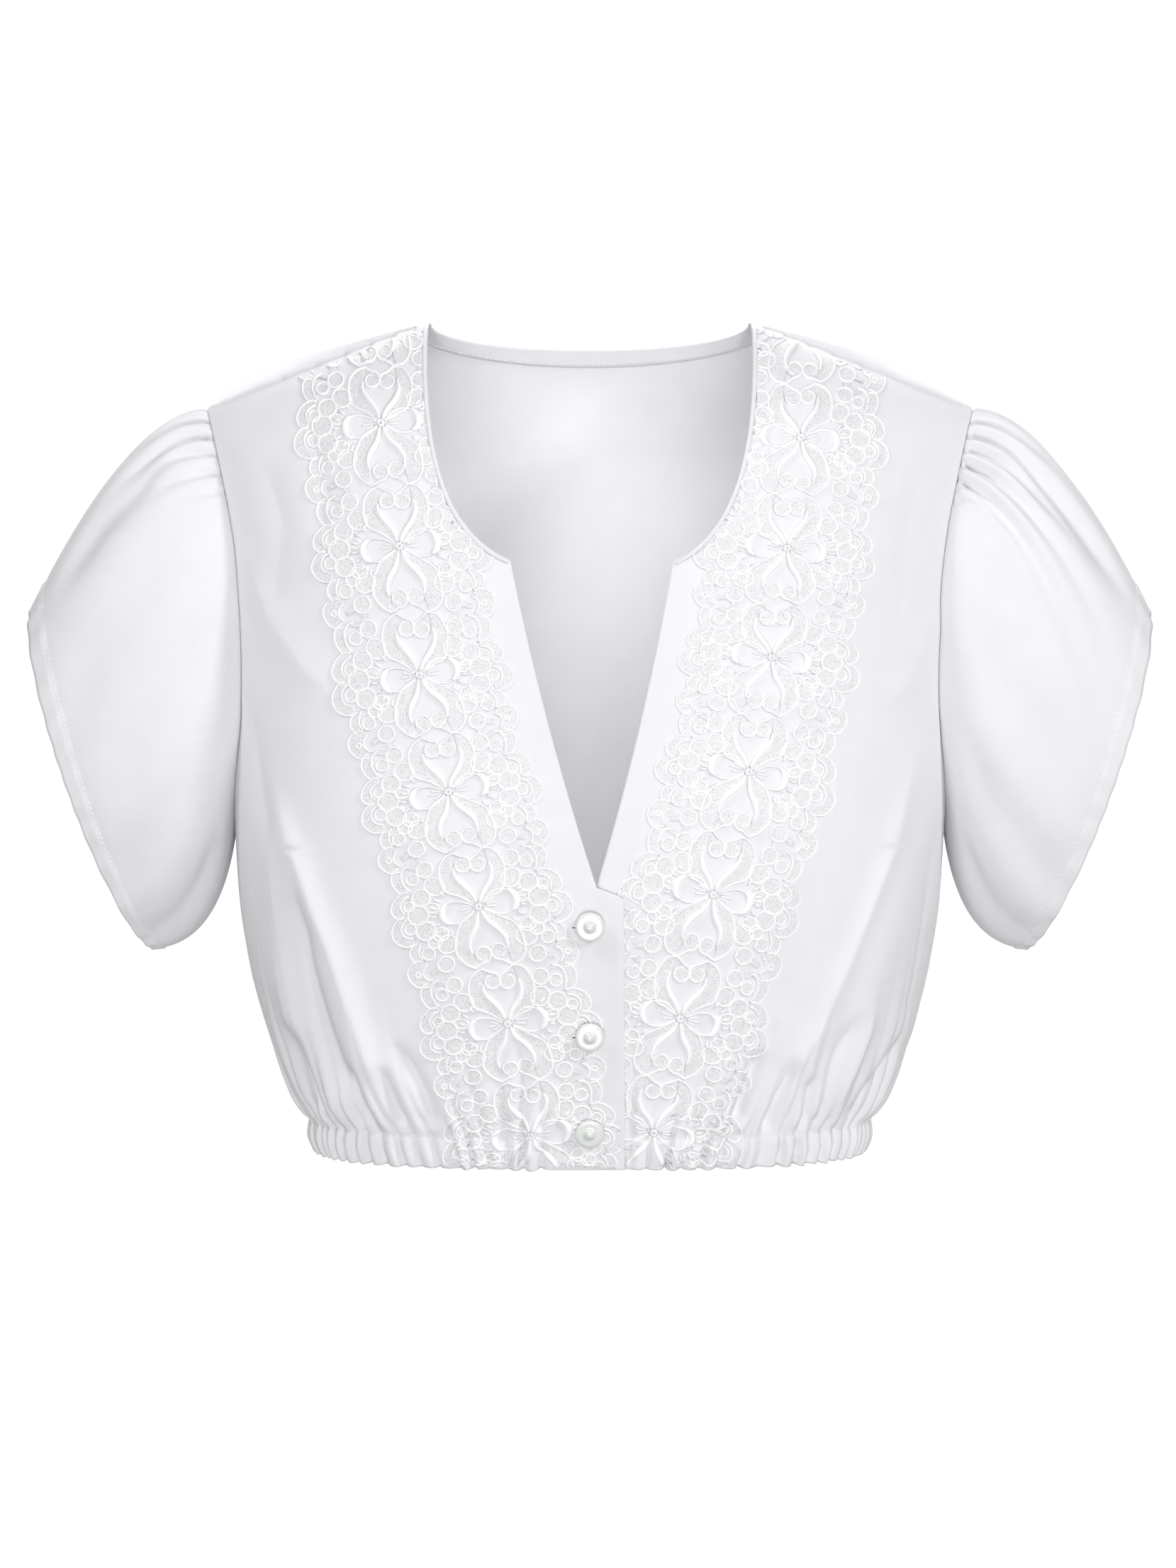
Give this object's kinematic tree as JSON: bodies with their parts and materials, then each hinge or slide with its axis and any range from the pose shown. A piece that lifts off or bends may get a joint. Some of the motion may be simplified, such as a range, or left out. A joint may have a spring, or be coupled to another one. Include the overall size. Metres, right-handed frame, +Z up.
{
  "type": "dirndl blouse",
  "caption": "Short worn-form blouse with gathered half sleeves open at the cuff, a deep notched V neck, raised lace down both fronts, a buttoned stand and a gathered hem",
  "frame": {"origin": "midway between the two shoulder-neck points, where the wearer's shoulders carry the blouse", "axes": "+Z up, -Y the front, +X the wearer's left"},
  "size_m": [0.542, 0.2287, 0.4031],
  "materials": {
    "cotton": "plain-weave white cotton, matt, faintly cool",
    "lace": "raised white guipure embroidery, matt with a slight thread sheen",
    "pearl": "pearly white, smooth, slightly translucent"
  },
  "bodies": {
    "root": {"front_right": "cotton", "front_left": "cotton", "back": "cotton", "neck_binding": "cotton", "hem_casing_right": "cotton", "hem_casing_left": "cotton", "hem_casing_back": "cotton", "sleeve_right": "cotton", "sleeve_left": "cotton", "lace_right": "lace", "lace_left": "lace", "lace_hem_right": "lace", "lace_hem_left": "lace", "button_top": "pearl", "button_middle": "pearl", "button_bottom": "pearl"}
  },
  "joints": []
}
